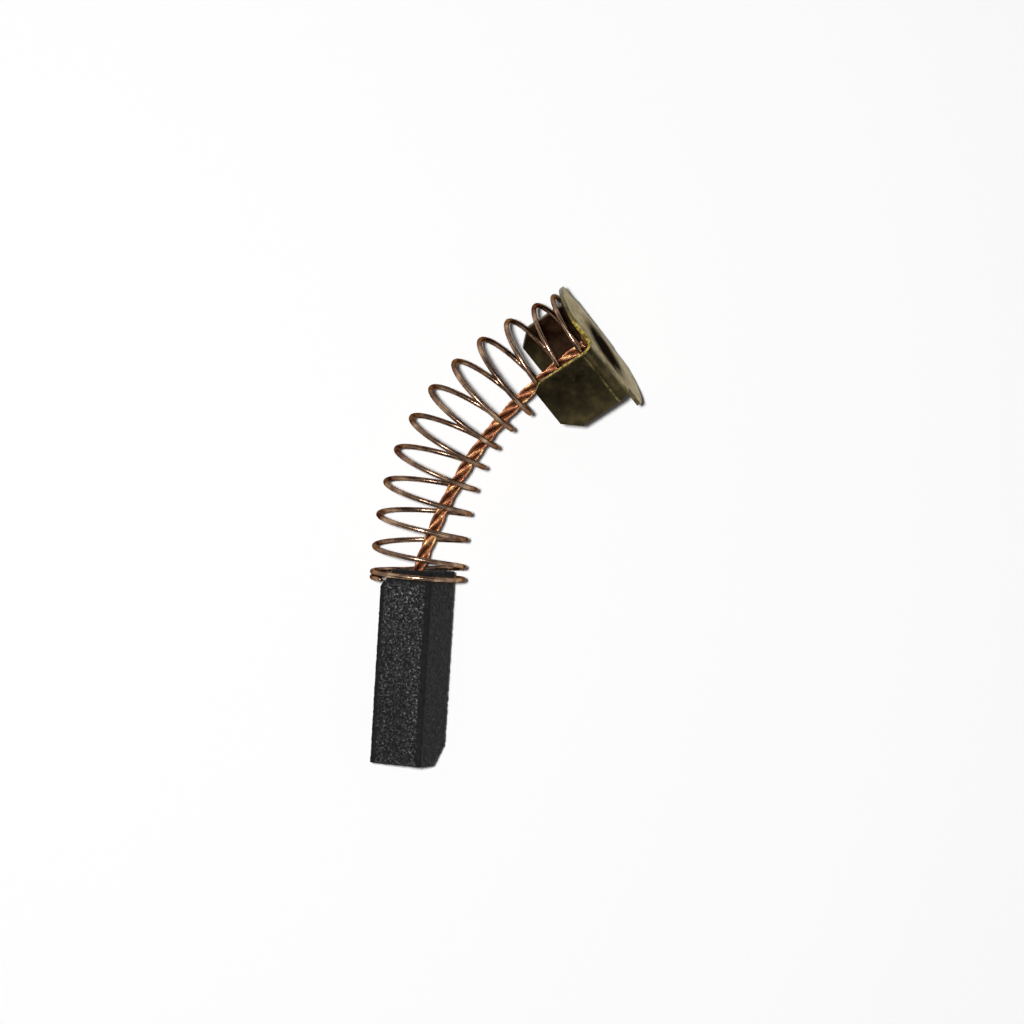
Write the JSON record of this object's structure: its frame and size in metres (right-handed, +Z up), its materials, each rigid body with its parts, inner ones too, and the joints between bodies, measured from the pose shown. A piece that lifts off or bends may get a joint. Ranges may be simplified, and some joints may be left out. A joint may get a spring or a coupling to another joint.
{
  "type": "carbon brush",
  "caption": "Square carbon brush with a bowed coil spring, a twisted copper shunt inside it and a round brass cap with two bent ears, lying as it comes to rest.",
  "frame": {"origin": "centre of the footprint, on the surface that the part lies on", "axes": "+Z up, +Y along the carbon block towards the spring, +X towards the side the spring bends to"},
  "size_m": [0.0278, 0.0522, 0.0146],
  "materials": {
    "carbon": "matte",
    "copper_powder": "matte",
    "spring_wire": "satin",
    "copper_strand": "satin",
    "cap_brass": "satin",
    "weld_metal": "matte"
  },
  "bodies": {
    "cap": {"terminal_cap": "cap_brass", "weld_nugget": "weld_metal", "coil_spring": "spring_wire", "shunt_strand_1": "copper_strand", "shunt_strand_2": "copper_strand", "shunt_strand_3": "copper_strand", "shunt_strand_4": "copper_strand"},
    "carbon": {"carbon_block": "carbon", "tamped_plug": "copper_powder"}
  },
  "joints": [
    {"name": "carbon_press", "type": "slide", "parent": "cap", "child": "carbon", "axis": [-0.01, 0.9978, 0.0651], "range_m": [0, 0.008], "stiffness_N_per_m": 100, "deforming": ["coil_spring", "shunt_strand_1", "shunt_strand_2", "shunt_strand_3", "shunt_strand_4"]}
  ]
}
